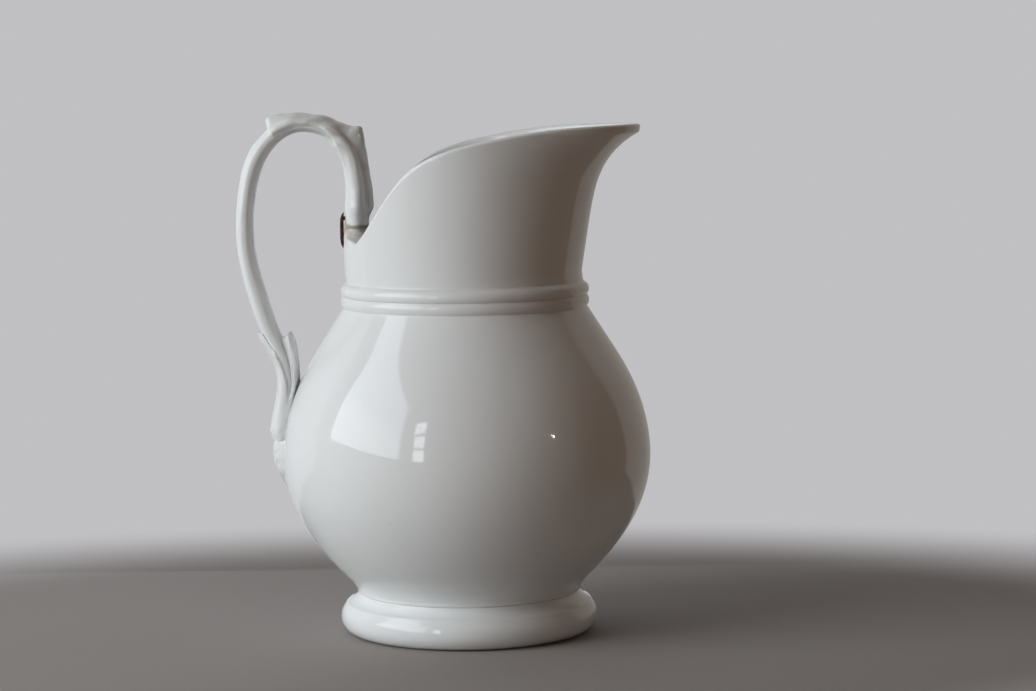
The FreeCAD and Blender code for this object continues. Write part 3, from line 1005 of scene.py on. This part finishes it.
def stage_disc(name, inner, outer, rings=24):
    """Flat oval ring of floor just under the jug, closed in the middle when it starts there."""
    mesh = bpy.data.meshes.new(name)
    bm = bmesh.new()
    angles = np.linspace(0, 2 * math.pi, STAGE_CORNERS, endpoint=False)
    loops = []
    for radius in np.linspace(inner, outer, rings):
        loops.append([
            bm.verts.new((FLOOR_STRETCH * radius * math.cos(a), radius * math.sin(a), -FLOOR_DROP))
            for a in angles])
    for one, two in zip(loops, loops[1:]):
        for j in range(STAGE_CORNERS):
            k = (j + 1) % STAGE_CORNERS
            bm.faces.new((one[j], two[j], two[k], one[k]))
    if inner == STAGE_CENTRE:
        bm.faces.new(loops[0])
    bm.to_mesh(mesh)
    bm.free()
    disc = bpy.data.objects.new(name, mesh)
    bpy.context.scene.collection.objects.link(disc)
    return disc


def seen_only_by_camera(thing):
    """Keeps the thing out of the light, the shadows and the reflections on the jug."""
    thing.visible_diffuse = False
    thing.visible_glossy = False
    thing.visible_transmission = False
    thing.visible_shadow = False


def build_floor():
    """Paper under the jug, and the paper further out that only the camera sees."""
    near = stage_disc("floor_near", STAGE_CENTRE, FLOOR_NEAR)
    near.data.materials.append(pale_stage())
    far = stage_disc("floor_far", FLOOR_NEAR, STAGE_RADIUS, 80)
    far.data.materials.append(fading_floor())
    seen_only_by_camera(far)


def build_backdrop():
    """Dome of one even tone over the floor."""
    dome = stage_disc("backdrop_dome", STAGE_CENTRE, 1.0)
    for vertex in dome.data.vertices:
        vertex.co.x /= FLOOR_STRETCH
        flat = math.hypot(vertex.co.x, vertex.co.y)
        tilt = flat * math.pi / 2
        spin = math.atan2(vertex.co.y, vertex.co.x)
        reach = STAGE_RADIUS * math.sin(tilt)
        height = STAGE_RADIUS * math.cos(tilt) - FLOOR_DROP
        vertex.co = (reach * math.cos(spin), reach * math.sin(spin), height)
    dome.data.materials.append(glowing("backdrop_paper", BACKGROUND_TONE))
    seen_only_by_camera(dome)


# Big window: the ends of its line on the floor, and the heights of its sill, its bar and its top.
WINDOW_START = (-0.87, -1.02)
WINDOW_END = (-0.69, 0.01)
WINDOW_SILL = 0.18
WINDOW_BAR = 0.45
WINDOW_TOP = 1.00

# Small window behind the camera: two columns of three panes.
PANE_LEFT = -0.66
PANE_LOW = 0.16
PANE_STEP_ACROSS = 0.08
PANE_STEP_UP = 0.19
PANE_WIDTH = 0.065
PANE_HEIGHT = 0.16


def big_window_cards():
    """The lower and the upper part of the big window on the left."""
    low = upright_card("low_window_reflection", WINDOW_START, WINDOW_END, WINDOW_SILL, WINDOW_BAR,
                       glowing("low_window_glow", (2.7, 2.85, 3.0)))
    high = upright_card("high_window_reflection", WINDOW_START, WINDOW_END, WINDOW_BAR, WINDOW_TOP,
                        glowing("high_window_glow", (2.1, 2.3, 2.55)))
    return [low, high]


def small_window_cards():
    """Every pane of the small window."""
    panes = []
    for column in range(2):
        for row in range(3):
            left = PANE_LEFT + PANE_STEP_ACROSS * column
            low = PANE_LOW + PANE_STEP_UP * row
            panes.append(upright_card(
                "small_pane_%d_%d" % (column, row), (left, -1.08), (left + PANE_WIDTH, -1.10),
                low, low + PANE_HEIGHT, glowing("pane_glow", (5.0, 5.2, 5.4))))
    return panes


def wall_cards():
    """The room's wall behind the jug, dim on the right and paler on the left."""
    dim = upright_card("wall_reflection", (0.10, 0.35), (0.80, 0.35), -0.10, 0.90,
                       glowing("wall_glow", (0.36, 0.33, 0.305)))
    pale = upright_card("pale_wall_reflection", (-1.20, 0.35), (0.10, 0.35), -0.10, 0.90,
                        glowing("pale_wall_glow", (0.55, 0.56, 0.58)))
    return [dim, pale]


def build_reflections():
    """Cards that show in the glaze only, and one that only lights the jug from behind."""
    for card in big_window_cards() + small_window_cards() + wall_cards():
        card.visible_diffuse = False
    bounce = upright_card("bounce_card", (-0.80, 0.15), (0.30, 0.15), 0.0, 0.75,
                          glowing("bounce_glow", (0.45, 0.46, 0.48)))
    bounce.visible_glossy = False


def upright_card(name, start, end, low, high, material):
    """Upright card over the line from start to end, which the camera doesn't see."""
    mesh = bpy.data.meshes.new(name)
    mesh.from_pydata([(*start, low), (*end, low), (*end, high), (*start, high)], [], [(0, 1, 2, 3)])
    mesh.materials.append(material)
    card = bpy.data.objects.new(name, mesh)
    bpy.context.scene.collection.objects.link(card)
    card.visible_camera = False
    card.visible_shadow = False
    return card


def glowing(name, tone):
    """Material that gives off this colour and reflects nothing."""
    material = bpy.data.materials.new(name)
    material.use_nodes = True
    tree = material.node_tree
    shader = tree.nodes["Principled BSDF"]
    shader.inputs["Base Color"].default_value = (0, 0, 0, 1)
    shader.inputs["Specular IOR Level"].default_value = 0
    shader.inputs["Emission Color"].default_value = (*tone, 1)
    shader.inputs["Emission Strength"].default_value = 1
    return material


def fading_floor():
    """The floor's paper near the jug, running out into an even backdrop tone."""
    material = pale_stage()
    material.name = "floor_fade"
    tree = material.node_tree
    shader = tree.nodes["Principled BSDF"]
    place = tree.nodes.new("ShaderNodeTexCoord").outputs["Object"]
    squeezed = tree.nodes.new("ShaderNodeVectorMath")
    squeezed.operation = "MULTIPLY"
    squeezed.inputs[1].default_value = (1 / FLOOR_STRETCH, 1, 1)
    tree.links.new(place, squeezed.inputs[0])
    distance = tree.nodes.new("ShaderNodeVectorMath")
    distance.operation = "LENGTH"
    tree.links.new(squeezed.outputs["Vector"], distance.inputs[0])
    amount = ranged(tree, distance.outputs["Value"], FLOOR_NEAR, FLOOR_FAR)
    glow = tree.nodes.new("ShaderNodeEmission")
    glow.inputs["Color"].default_value = (*BACKGROUND_TONE, 1)
    blend = tree.nodes.new("ShaderNodeMixShader")
    tree.links.new(amount, blend.inputs["Fac"])
    tree.links.new(shader.outputs["BSDF"], blend.inputs[1])
    tree.links.new(glow.outputs["Emission"], blend.inputs[2])
    tree.links.new(blend.outputs["Shader"], tree.nodes["Material Output"].inputs["Surface"])
    return material


def soft_light(name, azimuth, elevation, distance, width, height, watts, colour):
    """Rectangular light aimed at the jug. Azimuth 0 is the side the camera is on, positive to its right."""
    aim = Vector((0, 0, 0.10))
    turn = math.radians(azimuth)
    tilt = math.radians(elevation)
    direction = Vector((math.sin(turn) * math.cos(tilt), -math.cos(turn) * math.cos(tilt), math.sin(tilt)))
    data = bpy.data.lights.new(name, "AREA")
    data.shape = "RECTANGLE"
    data.size = width
    data.size_y = height
    data.energy = watts
    data.color = colour
    light = bpy.data.objects.new(name, data)
    light.location = aim + direction * distance
    light.rotation_euler = direction.to_track_quat("Z", "Y").to_euler()
    bpy.context.scene.collection.objects.link(light)
    return light


def build_lights():
    """Soft daylight from the left, a small lamp on the right and the room's dim light."""
    window = soft_light("window_light", -60, 16, 1.25, 0.90, 1.15, 15.5, (0.91, 0.96, 1.0))
    window.visible_glossy = False
    soft_light("small_lamp", 56, 14, 1.2, 0.03, 0.03, 0.25, (1.0, 0.95, 0.88))
    world = bpy.data.worlds.new("room")
    world.use_nodes = True
    world.node_tree.nodes["Background"].inputs["Color"].default_value = (0.095, 0.063, 0.044, 1)
    bpy.context.scene.world = world
    bpy.context.scene.view_settings.view_transform = "Standard"


CAMERA_PLACE = Vector((0.02150, -1.22708, 0.23315))
CAMERA_PITCH = 5.375
CAMERA_ROLL = 0.7
CAMERA_LENS = 104


def build_camera():
    """Camera in front of the jug, a little above the rim and looking slightly down."""
    data = bpy.data.cameras.new("camera")
    data.lens = CAMERA_LENS
    data.sensor_width = 36
    data.sensor_fit = "HORIZONTAL"
    data.clip_end = 30
    camera = bpy.data.objects.new("camera", data)
    look = Matrix.Rotation(math.radians(90 - CAMERA_PITCH), 4, "X")
    roll = Matrix.Rotation(math.radians(-CAMERA_ROLL), 4, "Z")
    camera.matrix_world = Matrix.Translation(CAMERA_PLACE) @ look @ roll
    bpy.context.scene.collection.objects.link(camera)
    bpy.context.scene.camera = camera


# ---- Assembly ----

build_camera()
build_lights()
build_floor()
build_backdrop()
build_reflections()

PORCELAIN = glazed_porcelain()
IRON = rusted_iron()
CEMENT = old_cement()
HANDLE = handle_path(STRAP)


def place_piece(piece, material, slot, *nodes):
    """Gives the piece its material, rides it on the jug's body and hides the nodes it replaces."""
    piece.data.materials.append(material)
    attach(piece, "root")
    if nodes:
        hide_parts(*nodes)


place_piece(foot_piece(), PORCELAIN, "glazed_porcelain", "foot")
place_piece(belly_piece(), PORCELAIN, "glazed_porcelain", "belly")
place_piece(neck_piece(), PORCELAIN, "glazed_porcelain", "neck")
place_piece(root_piece(), PORCELAIN, "glazed_porcelain", "handle_root")
place_piece(strap_piece(HANDLE), PORCELAIN, "glazed_porcelain", "handle_strap")
place_piece(upper_leaf_piece(HANDLE), PORCELAIN, "glazed_porcelain", "handle_upper_leaf")
place_piece(lower_leaf_piece(HANDLE), PORCELAIN, "glazed_porcelain", "handle_lower_leaf")
place_piece(tail_leaf_piece(), PORCELAIN, "glazed_porcelain", "handle_tail_leaf")
place_piece(cement_piece(), CEMENT, "old_cement", "repair_cement")
place_piece(staple_piece(), IRON, "rusted_iron", "repair_staple")
place_piece(staple_leg("staple_leg_low", LOW_LEG_HEIGHT), IRON, "rusted_iron")
place_piece(staple_leg("staple_leg_high", HIGH_LEG_HEIGHT), IRON, "rusted_iron")
